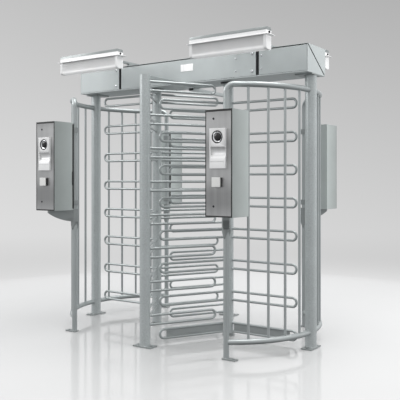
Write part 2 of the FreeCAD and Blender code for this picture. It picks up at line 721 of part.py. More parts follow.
def make_lamps():
    """Four lamps hung by their flanges from arms that lie on packers across the beam."""
    def put(shape):
        return moved(shape, x=LAMP_X, y=-LAMP_Y)

    beam_top, low = PASSAGE_H + BEAM_H, LAMP_FLANGE_Z + LAMP_FLANGE_T
    reach = LAMP_Y + LAMP_FLANGE_W / 2 - LAMP_SIDE_IN - LAMP_SHELL
    arm = block(-ARM_W / 2, ARM_W / 2, -reach, reach, low, low + ARM_T)
    arm = arm.fuse(block(-ARM_W / 2, ARM_W / 2, -BEAM_HALF_Y, BEAM_HALF_Y, beam_top, low))
    right_arms = [moved(arm, x=x) for x in ARM_XS]
    housing = put(lamp_housing())
    for right_arm in right_arms:
        housing = housing.cut(right_arm)
    save("lamp_arms", group(right_arms + [opposite(right_arm) for right_arm in right_arms]))
    housings = dict(four_ways(housing))
    for row in ("front", "rear"):
        pair = [housings[row + "_left"], housings[row + "_right"]]
        save("lamp_housings_" + row, group(pair))
    save("lamp_diffusers", group([shape for _, shape in four_ways(put(lamp_diffuser()))]))
    save("lamp_tubes", group([shape for _, shape in four_ways(put(lamp_tube()))]))


# ---- readers ----
# A reader is made facing the front (-Y), with its faceplate's lower left corner at the origin.
def reader_size():
    return (READER_X[1] - READER_X[0], READER_Y[1] - READER_Y[0], READER_Z[1] - READER_Z[0])


def placed_readers(shape):
    """The four readers: both front ones face the front, both rear ones the rear."""
    right = moved(shape, READER_X[0], -READER_Y[1], READER_Z[0])
    left = moved(shape, -READER_X[1], -READER_Y[1], READER_Z[0])
    return (
        ("front_right", right),
        ("front_left", left),
        ("rear_left", opposite(right)),
        ("rear_right", opposite(left)),
    )


def reader_housing():
    """Sheet box open at the front, with a ledge inside the mouth that carries the faceplate."""
    wide, deep, tall = reader_size()
    wall, inner = READER_WALL, READER_WALL + LEDGE
    back_of_face = READER_FACE_T
    box = block(0, wide, 0, deep, 0, tall)
    mouth = block(wall, wide - wall, -THROUGH, back_of_face, wall, tall - wall)
    opening = block(inner, wide - inner, 0, back_of_face + 2 * wall, inner, tall - inner)
    room = block(wall, wide - wall, back_of_face + wall, deep - wall, wall, tall - wall)
    return box.cut(mouth).cut(opening).cut(room)


def face_window(mid, width, height, depth):
    x, z = mid
    return block(x - width / 2, x + width / 2, -THROUGH, depth, z - height / 2, z + height / 2)


def reader_faceplate():
    wide, _, tall = reader_size()
    edge = READER_WALL + READER_SEAM
    plate = block(edge, wide - edge, 0, READER_FACE_T, edge, tall - edge)
    for mid, width, height, lap in ((MODULE_MID, MODULE_W, MODULE_H, MODULE_LAP),
                                    (BUTTON_MID, BUTTON_W, BUTTON_H, BEZEL_LAP)):
        plate = plate.cut(face_window(mid, width - 2 * lap, height - 2 * lap, READER_FACE_T))
    for x, z in SCREW_MIDS:
        plate = plate.cut(rod_y(x, z, -THROUGH, READER_FACE_T, SCREW_R))
    return plate


def ticket_module():
    """Proud white module: lens seat above, and below it a scoop open to the right."""
    x, z = MODULE_MID
    left, right = x - MODULE_W / 2, x + MODULE_W / 2
    low, high = z - MODULE_H / 2, z + MODULE_H / 2
    body = block(left, right, -MODULE_PROUD, 0, low, high)
    corners = [edge for edge in body.Edges
               if edge.BoundBox.YMax < NEAR - MODULE_PROUD]
    body = body.makeFillet(MODULE_ROUND, corners)
    inset = MODULE_NECK_IN
    neck = block(left + inset, right - inset, 0, MODULE_NECK_D, low + inset, high - inset)
    body = body.fuse(neck)
    face = -MODULE_PROUD
    seat = rod_y(x, z + LENS_UP, face, face + LENS_SEAT, LENS_R)
    scoop_axis = vec(left + SCOOP_LEFT_IN, face - SCOOP_OUT, z - SCOOP_DOWN)
    scoop = Part.makeCylinder(SCOOP_R, MODULE_W, scoop_axis, vec(1, 0, 0))
    slot_low, slot_high = SLOT_DOWN
    step = block(left + SLOT_EDGE_IN, right - SLOT_EDGE_IN, face, face + SLOT_DEPTH,
                 z - slot_low, z - slot_high)
    return body.cut(seat).cut(scoop).cut(step)


def module_lens():
    x, z = MODULE_MID
    y = -MODULE_PROUD
    ring_y = y + LENS_SEAT / 4
    ring = rod_y(x, z + LENS_UP, ring_y, y + LENS_SEAT, LENS_R - LENS_CLEAR)
    glass = Part.makeSphere(LENS_DOME_R, vec(x, y + LENS_DOME_R - LENS_SEAT / 2, z + LENS_UP))
    glass = glass.common(rod_y(x, z + LENS_UP, y - LENS_SEAT / 2, ring_y, LENS_GLASS_R))
    return ring.fuse(glass)


def button_bezel():
    """Dark square sleeve, proud of the faceplate, that the call button slides in."""
    x, z = BUTTON_MID
    half_w, half_h = BUTTON_W / 2 - BEZEL_IN, BUTTON_H / 2 - BEZEL_IN
    neck_w, neck_h = half_w - BEZEL_NECK_IN, half_h - BEZEL_NECK_IN
    room = BUTTON_STEM_HALF
    front = -BUTTON_PROUD + BUTTON_CAP_T + BUTTON_TRAVEL + BUTTON_CLEAR
    sleeve = block(x - half_w, x + half_w, front, 0, z - half_h, z + half_h)
    neck = block(x - neck_w, x + neck_w, 0, BEZEL_NECK_D, z - neck_h, z + neck_h)
    hollow = block(x - room, x + room, front, BEZEL_ROOM_D, z - room, z + room)
    return sleeve.fuse(neck).cut(hollow)


def call_button():
    x, z = BUTTON_MID
    front = -BUTTON_PROUD
    cap = block(x - BUTTON_W / 2, x + BUTTON_W / 2, front, front + BUTTON_CAP_T,
                z - BUTTON_H / 2, z + BUTTON_H / 2)
    rim = [edge for edge in cap.Edges if edge.BoundBox.YMax < front + NEAR]
    cap = cap.makeFillet(BUTTON_ROUND, rim)
    grip = BUTTON_STEM_HALF - BUTTON_CLEAR
    stem = block(x - grip, x + grip, front + BUTTON_CAP_T, BUTTON_STEM_D, z - grip, z + grip)
    return cap.fuse(stem)


def face_screw(x, z):
    head = rod_y(x, z, -SCREW_HEAD_T, 0, SCREW_HEAD_R)
    shank = rod_y(x, z, 0, READER_FACE_T, SCREW_R - BUTTON_CLEAR)
    return head.fuse(shank)


def gusset_side(reach, inset):
    """Outline of the gusset in its own plane: level on top, its lower edge rising outwards."""
    low = READER_Z[0]
    root_z, tip_z = low - GUSSET_ROOT + inset, low - GUSSET_TIP + inset
    along, up = GUSSET_BULGE
    bulge = vec(reach * along, 0, root_z + (tip_z - root_z) * up)
    root, tip = vec(0, 0, root_z), vec(reach - inset, 0, tip_z)
    top_out, top_in = vec(reach - inset, 0, low), vec(0, 0, low)
    edges = [Part.Arc(root, bulge, tip).toShape(), Part.makeLine(tip, top_out),
             Part.makeLine(top_out, top_in), Part.makeLine(top_in, root)]
    return Part.Face(Part.Wire(edges))


def gusset(reach):
    """Folded channel along +X, open at the top, where the reader stands on it."""
    half = GUSSET_W / 2
    outside = moved(gusset_side(reach, 0.0).extrude(vec(0, GUSSET_W, 0)), y=-half)
    inner_w = GUSSET_W - 2 * BRACKET_T
    inside = moved(gusset_side(reach, BRACKET_T).extrude(vec(0, inner_w, 0)), y=-inner_w / 2)
    return outside.cut(inside)


def pointed_saddle(x, y, high):
    """Lower end of the collar, cut to a point in front."""
    tip = high - SADDLE_POINT
    wide = GUIDE_R + COLLAR_T
    outline = [vec(x - wide, y - wide, high), vec(x + wide, y - wide, high), vec(x, y - wide, tip)]
    return rod(x, y, tip, high, wide).common(prism(outline, vec(0, 2 * wide, 0)))


def reader_bracket():
    """Collars on the end post, a spine behind the reader and a gusset out under it."""
    place, _ = guide_post_place()
    low, high = READER_Z
    back = -READER_Y[0]
    root = low - GUSSET_ROOT
    bracket = rod(place.x, place.y, root, low + PLATE_T, GUIDE_R + COLLAR_T)
    bracket = bracket.fuse(pointed_saddle(place.x, place.y, root))
    arm = turned(gusset(GUSSET_REACH), GUSSET_AIM)
    bracket = bracket.fuse(moved(arm, place.x, place.y))
    spine = block(READER_X[0], READER_X[0] + SPINE_W, back, back + SPINE_T, low, high)
    bracket = bracket.fuse(spine)
    for z in (low + SPINE_W, high - SPINE_W):
        collar = rod(place.x, place.y, z - GUIDE_R, z + GUIDE_R, GUIDE_R + COLLAR_T)
        bracket = bracket.fuse(collar)
    box = block(READER_X[0], READER_X[1], -READER_Y[1], back, low, high)
    bracket = bracket.cut(box).cut(rod(place.x, place.y, 0, PASSAGE_H, GUIDE_R))
    return bracket.removeSplitter()


def make_readers():
    named = {
        "reader_housing": reader_housing(),
        "call_button": call_button(),
    }
    for name, shape in named.items():
        for quarter, placed in placed_readers(shape):
            save(name + "_" + quarter, placed)
    grouped = {
        "reader_faceplates": [reader_faceplate()],
        "ticket_modules": [ticket_module()],
        "module_lenses": [module_lens()],
        "button_bezels": [button_bezel()],
    }
    for name, shapes in grouped.items():
        everywhere = [placed for _, placed in placed_readers(group(shapes))]
        save(name, group(everywhere))
    save("reader_brackets", group([shape for _, shape in four_ways(reader_bracket())]))


def make_screws():
    """Bright button heads on the beam's covers, and the screws that hold the faceplates."""
    heads = [button_head(*place) for place in bolt_places()]
    face_screws = group([face_screw(x, z) for x, z in SCREW_MIDS])
    heads += [placed for _, placed in placed_readers(face_screws)]
    save("cover_screws", group(heads))


os.makedirs("parts", exist_ok=True)
make_rotors()
make_dampers()
make_bearings()
make_supports()
make_combs()
make_cages()
make_base_plates()
make_beam_shell()
make_beam_covers()
make_beam_inside()
make_lamps()
make_readers()
make_screws()
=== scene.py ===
import json
import math

import bmesh
import bpy
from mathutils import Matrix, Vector

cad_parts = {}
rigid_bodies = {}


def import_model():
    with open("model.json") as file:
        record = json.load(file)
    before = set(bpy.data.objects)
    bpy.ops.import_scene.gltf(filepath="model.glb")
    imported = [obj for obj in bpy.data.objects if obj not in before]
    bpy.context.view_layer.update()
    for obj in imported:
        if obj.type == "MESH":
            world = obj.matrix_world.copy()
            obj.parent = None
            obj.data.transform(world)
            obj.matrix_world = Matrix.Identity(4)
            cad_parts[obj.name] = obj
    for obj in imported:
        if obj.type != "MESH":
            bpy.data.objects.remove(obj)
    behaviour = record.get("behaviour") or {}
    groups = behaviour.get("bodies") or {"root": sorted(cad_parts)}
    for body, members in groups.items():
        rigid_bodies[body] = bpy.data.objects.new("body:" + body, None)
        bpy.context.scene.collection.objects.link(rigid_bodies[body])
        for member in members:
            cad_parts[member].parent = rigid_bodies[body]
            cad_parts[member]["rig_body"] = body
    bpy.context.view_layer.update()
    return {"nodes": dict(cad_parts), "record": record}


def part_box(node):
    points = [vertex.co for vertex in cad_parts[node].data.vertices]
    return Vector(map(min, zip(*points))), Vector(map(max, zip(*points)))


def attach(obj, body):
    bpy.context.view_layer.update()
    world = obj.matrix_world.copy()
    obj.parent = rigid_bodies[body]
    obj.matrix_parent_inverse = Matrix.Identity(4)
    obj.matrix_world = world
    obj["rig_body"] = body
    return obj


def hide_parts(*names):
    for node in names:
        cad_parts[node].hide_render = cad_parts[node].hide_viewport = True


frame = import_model()

# Double full-height turnstile. Metres, in the row's frame: +X along the beam, +Y to the rear.

# ---- camera ----
CAMERA_PLACE = (3.278, -4.620, 1.2925)
CAMERA_TURN = math.radians(34.6)
CAMERA_LENS = 58.9
CAMERA_SENSOR = 36.0
CAMERA_SHIFT_Y = -0.051
AWAY = Vector((-math.sin(CAMERA_TURN), math.cos(CAMERA_TURN), 0.0))   # level, from the camera

# ---- studio ----
LIGHT_AIM = (0.0, 0.0, 1.1)
LIGHTS = (                   # name, place, size, power, and whether shiny things mirror it
    ("top", (1.4, 0.2, 6.6), (6.0, 3.6), 262, True),
    ("key", (-3.8, -3.2, 4.0), (2.4, 2.4), 74, True),
    ("strip", (4.6, 2.6, 2.2), (0.9, 3.4), 100, False),
)
STAGE_R = 9.5                # flat floor, which then curves up into a wall all round
STAGE_CURVE_R = 4.0
STAGE_H = 9.0
FLOOR_R = 1.3                # between these radii the lit floor turns into glowing paper
GLOW_R = 6.6
SHINE_R = 3.8                # and its shine is gone by here
FLOOR_GREY = 0.61            # colour of the lit floor, and of the glowing paper
PAPER_GREY = 0.03
FLOOR_SPECULAR = 0.5
FLOOR_ROUGH = (0.08, 0.1)
FLOOR_CLOUDS = 3.0
WALL_FAR = 0.70              # glow of the paper behind the object, and behind the camera
WALL_NEAR = 0.50
PAPER_SHADE_RISE = 3.25           # painted shade: the glowing paper is painted darker up and to the right, this much more upwards
PAPER_SHADE_SPAN = (-5.0, 27.5)
PAPER_SHADE_GREY = 0.60
AIR_TINT = (0.97, 0.985, 1.0)
AIR_BELOW = 0.06             # light from below and from the sides, in shares of the white above
AIR_SIDES = 0.62
AIR_NEAR = 0.92              # and how this grows from the camera's side to the far side
AIR_FAR = 1.20

# ---- finishes ----
PAINT = (0.46, 0.49, 0.49)
NOISE_SPAN = (0.3, 0.7)      # nearly all of a noise's values lie between these
WHOLE = (0.0, 1.0)
ROUGH_LESS = 0.05            # how far a finish's roughness strays from its mean
ROUGH_MORE = 0.08
PAINT_ROUGH_MORE = 0.06
GRAIN_BUMP = 0.0002          # depth of the grain in paint, and in metal and plastic
FINE_BUMP = 0.0001
SOFT_BUMP = 0.12             # strength of the grain in paint and plastic, metal and prisms
METAL_BUMP = 0.2
PRISM_BUMP = 0.15
WHITE = (1.0, 1.0, 1.0)
PAINT_CLOUDS = 5.0           # scales of the patterns, roughly the number of features in a metre
PAINT_PEEL = 38.0
PAINT_SCUFFS = (7.0, 7.0, 40.0)
SCUFF_SPAN = (0.55, 0.75)
PAINT_TONES = (0.96, 1.04)   # a pattern's darkest and palest shares of the colour
BRUSH_LINES = (700.0, 700.0, 6.0)
BRUSH_STRIPES = (24.0, 24.0, 0.9)
BRUSH_TONES = (0.93, 1.06)
# painted reflection: the part of each wave over which a faceplate's painted bands of shine go from
# dark to pale
PAINTED_SHINE_SPAN = (0.1, 0.9)
TOOL_MARKS = (300.0, 300.0, 1200.0)
MARK_TONES = (0.95, 1.04)
STAINS = 22.0
STAIN_TONES = (0.85, 1.05)
PLASTIC_CLOUDS = 14.0
PLASTIC_HANDLING = 60.0
PLASTIC_GRAIN = 500.0
PLASTIC_TONES = (0.97, 1.02)
COAT_ROUGH = 0.08
PAINTED_SHINE_SCALE = 0.95            # painted reflection: bands of shine painted up a faceplate, and where they start
PAINTED_SHINE_PHASE = 3.02
PAINTED_SHINE_WANDER = 0.4
READER_PAINTED_SHADE = 0.19                  # painted shade and light: how far a reader's paint is painted darker and paler than its mean
PAINTED_LIT_FOOT = 0.95             # a diffuser's whiteness at its foot and at its top: painted light at the foot, painted shade at the top
PAINTED_SHADED_TOP = 0.66
ACRYLIC_CLOUDS = 9.0
PRISMS = 260.0
PRISM_ROUGH = (0.31, 0.42)
# painted highlight: how brightly the band along a diffuser's foot glows
PAINTED_RIM_GLOW = 0.15
PAINTED_RIM_BAND = 0.034              # height of the band of painted highlight that glows along a diffuser's foot
MIX_COLOURS = (6, 7)         # a Mix node's colour sockets, and its colour result
MIX_RESULT = 2

# ---- sizes of the finishing detail ----
SEAM_GAP = 1e-6              # vertices this close together are one
FLAT_WITHIN = math.radians(1.0)
BEVEL_FROM = math.radians(40.0)
CREASE_FROM = math.radians(32.0)
SHEET_EDGE = 0.0012          # rounding of folded and cut sheet
PLATE_EDGE = 0.001
PLASTIC_EDGE = 0.0016
ROTOR_X = 0.38               # each rotor's axis, and the radius of its shaft
SHAFT_R = 0.020
GUIDE_R = 0.0212             # radius of a cage's end posts and rails
HAIRPIN_R = 0.010
BEAD_R = 0.0028              # weld bead round the end of a tube
FILLET = 0.0028              # weld fillet at the foot of a post
FILLET_CURVE = ((0.7, 0.35), (0.35, 0.7), (0.0, 1.0))   # its face, out and up
WELD_PRESS = 0.0004          # how far a weld is sunk into the metal
ROUND_STEPS = 48
BEAD_STEPS = 20
BEAD_SIDES = 6
HAIR = 0.0003                # gap that keeps two faces from lying in one plane
SCREW_PROFILE = ((1.0, 0.0), (1.0, 0.25), (0.94, 0.6), (0.78, 0.88), (0.6, 1.0),
                 (0.46, 1.0), (0.42, 0.3), (0.0, 0.25))   # in shares of radius and height
SOCKET_FROM = 5              # from this point of it on, the outline is hexagonal
GASKET_PROUD = 0.0012        # the gasket's front before the faceplate, and its back behind it
GASKET_BACK = 0.0028
GASKET_IN = 0.0015           # how far the housing's sheet shows outside the gasket
GASKET_AND_SHADOW_LAPS = (-0.0012, 0.0030, 0.0025, 0.0085)   # over the plate's left, foot, right and top; widest over the top as painted shadow in the gap
LENS_RIM = 0.66              # height of the dish's rim, as a share of the lens's depth
DISH_FLOOR = 0.3             # height of the dish's floor, as a share of its rim's
DISH_PROFILE = ((0.0, 0.0), (1.0, 0.0), (1.0, 1.0), (0.95, 1.0), (0.86, 0.45),
                (0.84, DISH_FLOOR), (0.0, DISH_FLOOR))    # in shares of radius and rim height
RING_PROFILE = ((0.80, DISH_FLOOR), (0.80, 0.7), (0.77, 0.75), (0.63, 0.35))
DOME_SHARE = 0.60            # radius of the glass dome, as a share of the lens's
DOME_STEPS = 8
SCOOP_R = 0.060              # the ticket module's scoop, as in its CAD node
SCOOP_OUT = 0.046
SCOOP_DOWN = 0.026
SCOOP_IN = 0.010
MODULE_ROUND = 0.003
LINER_T = 0.0008
LINER_SHARE = 0.68           # how much of the scoop's curve the liner covers, from the top
LINER_STEPS = 12
SHADOW_STRIP_W = 0.015               # painted shadow: black strip at a housing's back corner, standing in for the shadow between the housing and its post
SHADOW_STRIP_PROUD = 0.004
SHADOW_STRIP_IN = 0.012
SHADOW_STRIP_SHARES = ((0.0, 0.8), (0.015, 1.0), (0.27, 1.0), (0.29, 1.35), (0.43, 1.35), (0.45, 1.0),
               (0.985, 1.0), (1.0, 0.8))   # height along it, and its thickness there
SHADOW_STRIP_SECTION = ((0.8, 0.0), (1.0, 0.2), (1.0, 0.8), (0.5, 1.0))   # outline, out and forward
DIFFUSER_T = 0.0025
DIFFUSER_BEND = 0.45         # radius of the diffuser's lower corners, in half widths
BEND_STEPS = 6
RIB_PITCH = 0.0055           # prisms along the diffuser
RIB_DEPTH = 0.0009
CAP_L = 0.026                # moulded end of a diffuser
SHADED_TOP_H = 0.024                # painted shade: height of the sloping top of a lamp, given grey paint
FLANGE_END = 0.022           # a lamp's flange stands this far past its housing's ends
SOCKET_R = 0.006             # power socket in a lamp's end, taller than it is wide
SOCKET_TALL = 1.7
SOCKET_L = 0.010
SOCKET_STEPS = 24
SOCKET_PROFILE = ((1.0, 0.6), (0.8, 1.0), (0.5, 1.0), (0.0, 0.5))   # radius and length
SOCKET_DROP = 0.038          # socket centre below the top of the lamp

NODE_SLOT = {part["node"]: part["material_slot"] for part in frame["record"]["subparts"]}
QUARTERS = ("front_left", "front_right", "rear_left", "rear_right")
UP = Vector((0.0, 0.0, 1.0))


# ---- material helpers ----
class Shader:
    """A node tree, with short calls for the nodes that the finishes and the world use."""

    def __init__(self, owner, surface="Principled BSDF", place="Object"):
        owner.use_nodes = True
        self.owner = owner
        self.nodes = owner.node_tree.nodes
        self.links = owner.node_tree.links
        self.surface = self.nodes[surface]
        self.place = self.nodes.new("ShaderNodeTexCoord").outputs[place]

    def set(self, **values):
        for name, value in values.items():
            self.surface.inputs[name.replace("_", " ")].default_value = value

    def link(self, output, socket):
        self.links.new(output, socket)

    def give(self, socket_name, output):
        """Feeds one of the shader's own sockets."""
        self.link(output, self.surface.inputs[socket_name])

    def stretched(self, scale):
        """Object coordinates stretched by a factor on each axis."""
        node = self.nodes.new("ShaderNodeMapping")
        node.inputs["Scale"].default_value = scale
        self.link(self.place, node.inputs["Vector"])
        return node.outputs["Vector"]

    def along(self, direction):
        """How far a point lies along a direction from the origin."""
        node = self.nodes.new("ShaderNodeVectorMath")
        node.operation = "DOT_PRODUCT"
        node.inputs[1].default_value = direction
        self.link(self.place, node.inputs[0])
        return node.outputs["Value"]

    def from_axis(self):
        """How far a point lies from the upright axis through the origin."""
        node = self.nodes.new("ShaderNodeVectorMath")
        node.operation = "LENGTH"
        self.link(self.stretched((1.0, 1.0, 0.0)), node.inputs[0])
        return node.outputs["Value"]

    def from_beam(self):
        """How far a point lies to the front or the rear of the beam's middle."""
        node = self.nodes.new("ShaderNodeMath")
        node.operation = "ABSOLUTE"
        self.link(self.along((0.0, 1.0, 0.0)), node.inputs[0])
        return node.outputs["Value"]

    def noise(self, scale, detail=3.0, vector=None):
        node = self.nodes.new("ShaderNodeTexNoise")
        node.inputs["Scale"].default_value = scale
        node.inputs["Detail"].default_value = detail
        self.link(vector or self.place, node.inputs["Vector"])
        return node.outputs["Fac"]

    def waves(self, scale, axis, phase, distortion):
        """Soft stripes across one axis."""
        node = self.nodes.new("ShaderNodeTexWave")
        node.bands_direction = axis
        node.inputs["Scale"].default_value = scale
        node.inputs["Phase Offset"].default_value = phase
        node.inputs["Distortion"].default_value = distortion
        self.link(self.place, node.inputs["Vector"])
        return node.outputs["Fac"]

    def ramp(self, factor, low, high, span=NOISE_SPAN, middle=None):
        """Colours from low to high over a span of the factor, by way of a middle one if given."""
        node = self.nodes.new("ShaderNodeValToRGB")
        stops = node.color_ramp.elements
        wanted = [(span[0], low), (span[1], high)]
        if middle:
            halfway = sum(span) / 2
            stops.new(halfway)
            wanted.insert(1, (halfway, middle))
        for stop, (position, colour) in zip(stops, wanted):
            stop.position, stop.color = position, (*colour, 1.0)
        self.link(factor, node.inputs["Fac"])
        return node.outputs["Color"]

    def spread(self, factor, low, high, span=NOISE_SPAN, eased=False):
        """A span of the factor, mapped to low to high."""
        node = self.nodes.new("ShaderNodeMapRange")
        if eased:
            node.interpolation_type = "SMOOTHSTEP"
        node.inputs["From Min"].default_value, node.inputs["From Max"].default_value = span
        node.inputs["To Min"].default_value = low
        node.inputs["To Max"].default_value = high
        self.link(factor, node.inputs["Value"])
        return node.outputs["Result"]

    def times(self, first, second):
        """Two colours multiplied."""
        node = self.nodes.new("ShaderNodeMix")
        node.data_type = "RGBA"
        node.blend_type = "MULTIPLY"
        node.inputs["Factor"].default_value = 1.0
        for colour, socket in zip((first, second), MIX_COLOURS):
            self.link(colour, node.inputs[socket])
        return node.outputs[MIX_RESULT]

    def worn(self, factor, roughness, more=ROUGH_MORE):
        """Roughness that strays a little from its mean."""
        self.give("Roughness", self.spread(factor, roughness - ROUGH_LESS, roughness + more))

    def bumped(self, height, distance, strength):
        node = self.nodes.new("ShaderNodeBump")
        node.inputs["Distance"].default_value = distance
        node.inputs["Strength"].default_value = strength
        self.link(height, node.inputs["Height"])
        return node.outputs["Normal"]


def shade(colour, factor):
    return tuple(channel * factor for channel in colour)


def grey(value):
    return (value, value, value)


def tints(colour, tones):
    """The colour made darker or paler by each of some tones."""
    return [shade(colour, tone) for tone in tones]


# ---- finishes ----
def powder_coat(name, colour, metallic, roughness, grain=0.03, grain_scale=260.0, dirt=0.0,
                painted_shade_span=None):
    """Powder coat: faint cloudiness, a grain of pigment, and a peel that breaks up the gloss.

    Given two distances from the beam, the coat is painted paler at the first and darker at the
    second: painted shade and light across a reader's housing."""
    s = Shader(bpy.data.materials.new(name))
    clouds = s.ramp(s.noise(PAINT_CLOUDS, 4.0), *tints(colour, PAINT_TONES))
    grains = s.noise(grain_scale, 2.0)
    tone = s.times(clouds, s.ramp(grains, *tints(WHITE, (1 - grain, 1 + grain))))
    if dirt:
        scuffs = s.noise(1.0, 6.0, s.stretched(PAINT_SCUFFS))
        tone = s.times(tone, s.ramp(scuffs, WHITE, grey(1 - dirt), SCUFF_SPAN))
    # painted shade and light: paler nearer the beam, darker further from it
    if painted_shade_span:
        outward = s.spread(s.from_beam(), *WHOLE, painted_shade_span)
        tone = s.times(tone, s.ramp(outward, *tints(WHITE, (1 + READER_PAINTED_SHADE, 1 - READER_PAINTED_SHADE)), WHOLE))
    s.give("Base Color", tone)
    s.worn(s.noise(PAINT_PEEL, 4.0), roughness, PAINT_ROUGH_MORE)
    s.give("Normal", s.bumped(grains, GRAIN_BUMP, SOFT_BUMP))
    s.set(Metallic=metallic)
    return s.owner


def brushed_steel(name, colour, roughness, painted_shine=0.0):
    """Stainless sheet with fine upright brush lines and, if asked, broad bands of shine painted into
    its colour as a painted reflection.
    """
    s = Shader(bpy.data.materials.new(name))
    lines = s.noise(1.0, 4.0, s.stretched(BRUSH_LINES))
    stripes = s.noise(1.0, 2.0, s.stretched(BRUSH_STRIPES))
    tone = s.times(s.ramp(lines, *tints(colour, BRUSH_TONES)),
                   s.ramp(stripes, *tints(WHITE, BRUSH_TONES)))
    # painted reflection: broad bands of shine, painted into the base colour
    if painted_shine:
        painted_shine_bands = s.waves(PAINTED_SHINE_SCALE, "Z", PAINTED_SHINE_PHASE, PAINTED_SHINE_WANDER)
        tone = s.times(tone, s.ramp(painted_shine_bands, *tints(WHITE, (1 - painted_shine, 1 + painted_shine)), PAINTED_SHINE_SPAN))
    s.give("Base Color", tone)
    s.worn(lines, roughness)
    s.give("Normal", s.bumped(lines, FINE_BUMP, METAL_BUMP))
    s.set(Metallic=1.0, Anisotropic=0.4)
    return s.owner


def turned_metal(name, colour, metallic, roughness):
    """Machined or plated metal: fine rings of tool marks and a little staining."""
    s = Shader(bpy.data.materials.new(name))
    marks = s.noise(1.0, 3.0, s.stretched(TOOL_MARKS))
    stains = s.ramp(s.noise(STAINS, 5.0), *tints(colour, STAIN_TONES))
    s.give("Base Color", s.times(stains, s.ramp(marks, *tints(WHITE, MARK_TONES))))
    s.worn(marks, roughness)
    s.give("Normal", s.bumped(marks, FINE_BUMP, METAL_BUMP))
    s.set(Metallic=metallic)
    return s.owner


def moulded_plastic(name, colour, roughness, coat=0.0):
    """Moulded plastic with a fine spark-eroded grain and faint handling marks."""
    s = Shader(bpy.data.materials.new(name))
    s.give("Base Color", s.ramp(s.noise(PLASTIC_CLOUDS, 4.0), *tints(colour, PLASTIC_TONES)))
    s.worn(s.noise(PLASTIC_HANDLING, 4.0), roughness)
    s.give("Normal", s.bumped(s.noise(PLASTIC_GRAIN, 2.0), FINE_BUMP, SOFT_BUMP))
    s.set(Coat_Weight=coat, Coat_Roughness=COAT_ROUGH)
    return s.owner


def frosted_acrylic(name, low_z, high_z):
    """Milky acrylic, moulded in fine prisms, with painted light and shade: whiter towards its foot,
    greyer towards its top, and a band along its foot that glows as a painted highlight.
    """
    s = Shader(bpy.data.materials.new(name))
    height = s.along(UP)
    up_it = s.spread(height, *WHOLE, (low_z, high_z))
    # painted shade and light: greyer at the top, whiter at the foot
    painted_shading = s.ramp(up_it, grey(PAINTED_LIT_FOOT), grey(PAINTED_SHADED_TOP), WHOLE)
    cloud = s.ramp(s.noise(ACRYLIC_CLOUDS), *tints(WHITE, PLASTIC_TONES))
    s.give("Base Color", s.times(painted_shading, cloud))
    prisms = s.noise(PRISMS, 0.0)
    s.give("Roughness", s.spread(prisms, *PRISM_ROUGH))
    # painted highlight: a band along the foot glows
    s.give("Emission Strength",
           s.spread(height, PAINTED_RIM_GLOW, 0.0, (low_z + PAINTED_RIM_BAND / 2, low_z + PAINTED_RIM_BAND)))
    s.give("Normal", s.bumped(prisms, GRAIN_BUMP, PRISM_BUMP))
    s.set(Transmission_Weight=0.2, IOR=1.49, Emission_Color=(*WHITE, 1.0))
    return s.owner


def make_finishes():
    """One material for each of the record's slots."""
    diffuser_low, diffuser_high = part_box("lamp_diffusers")
    housing_low, housing_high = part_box("reader_housing_rear_right")
    return {
        "post_paint": powder_coat("post_paint", shade(PAINT, 1.2), metallic=0.55, roughness=0.36,
                                  grain=0.09, grain_scale=110.0),
        "tube_paint": powder_coat("tube_paint", shade(PAINT, 1.04), metallic=0.65,
                                  roughness=0.35),
        "plate_paint": powder_coat("plate_paint", shade(PAINT, 0.75), metallic=0.5,
                                   roughness=0.40, dirt=0.15),
        "kick_plate_paint": powder_coat("kick_plate_paint", shade(PAINT, 0.78), metallic=0.35,
                                        roughness=0.42, dirt=0.2),
        "beam_paint": powder_coat("beam_paint", (0.56, 0.60, 0.60), metallic=0.1,
                                  roughness=0.45, grain=0.012),
        "inner_steel": powder_coat("inner_steel", (0.15, 0.155, 0.16), metallic=0.3,
                                   roughness=0.5),
        "bearing_iron": turned_metal("bearing_iron", (0.05, 0.052, 0.055), 0.7, 0.45),
        "gear_steel": turned_metal("gear_steel", (0.5, 0.49, 0.47), 1.0, 0.36),
        "controller_case": moulded_plastic("controller_case", (0.06, 0.062, 0.066), 0.5),
        "nameplate_silver": brushed_steel("nameplate_silver", grey(0.9), 0.45),
        "screw_zinc": turned_metal("screw_zinc", (0.88, 0.89, 0.91), 1.0, 0.18),
        "lamp_white": moulded_plastic("lamp_white", grey(0.94), 0.36, coat=0.3),
        "lamp_diffuser": frosted_acrylic("lamp_diffuser", diffuser_low.z, diffuser_high.z),
        "lamp_tube": moulded_plastic("lamp_tube", (0.95, 0.95, 0.93), 0.36),
        # the readers' housings carry painted shade and light across their sides
        "reader_paint": powder_coat("reader_paint", (0.43, 0.465, 0.455), metallic=0.3,
                                    roughness=0.42, grain=0.012,
                                    painted_shade_span=(housing_low.y, housing_high.y)),
        # the faceplates carry painted reflection: bands of shine in their colour
        "faceplate_steel": brushed_steel("faceplate_steel", grey(0.45), 0.40, painted_shine=0.18),
        "module_white": moulded_plastic("module_white", grey(0.95), 0.36, coat=0.2),
        "lens_black": moulded_plastic("lens_black", (0.008, 0.008, 0.009), 0.12, coat=0.2),
        "bezel_black": moulded_plastic("bezel_black", grey(0.03), 0.45),
        "button_white": moulded_plastic("button_white", (0.90, 0.90, 0.88), 0.36, coat=0.2),
    }


# ---- mesh helpers ----
def mesh_from(bm, name):
    mesh = bpy.data.meshes.new(name)
    bm.to_mesh(mesh)
    bm.free()
    return mesh


def new_piece(name, mesh, body, slot_name):
    """A finished mesh as a piece that rides on a body and takes a slot's finish."""
    piece = bpy.data.objects.new(name, mesh)
    bpy.context.scene.collection.objects.link(piece)
    mesh.materials.clear()
    mesh.materials.append(finishes[slot_name])
    smooth_but_creased(mesh)
    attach(piece, body)
    return piece


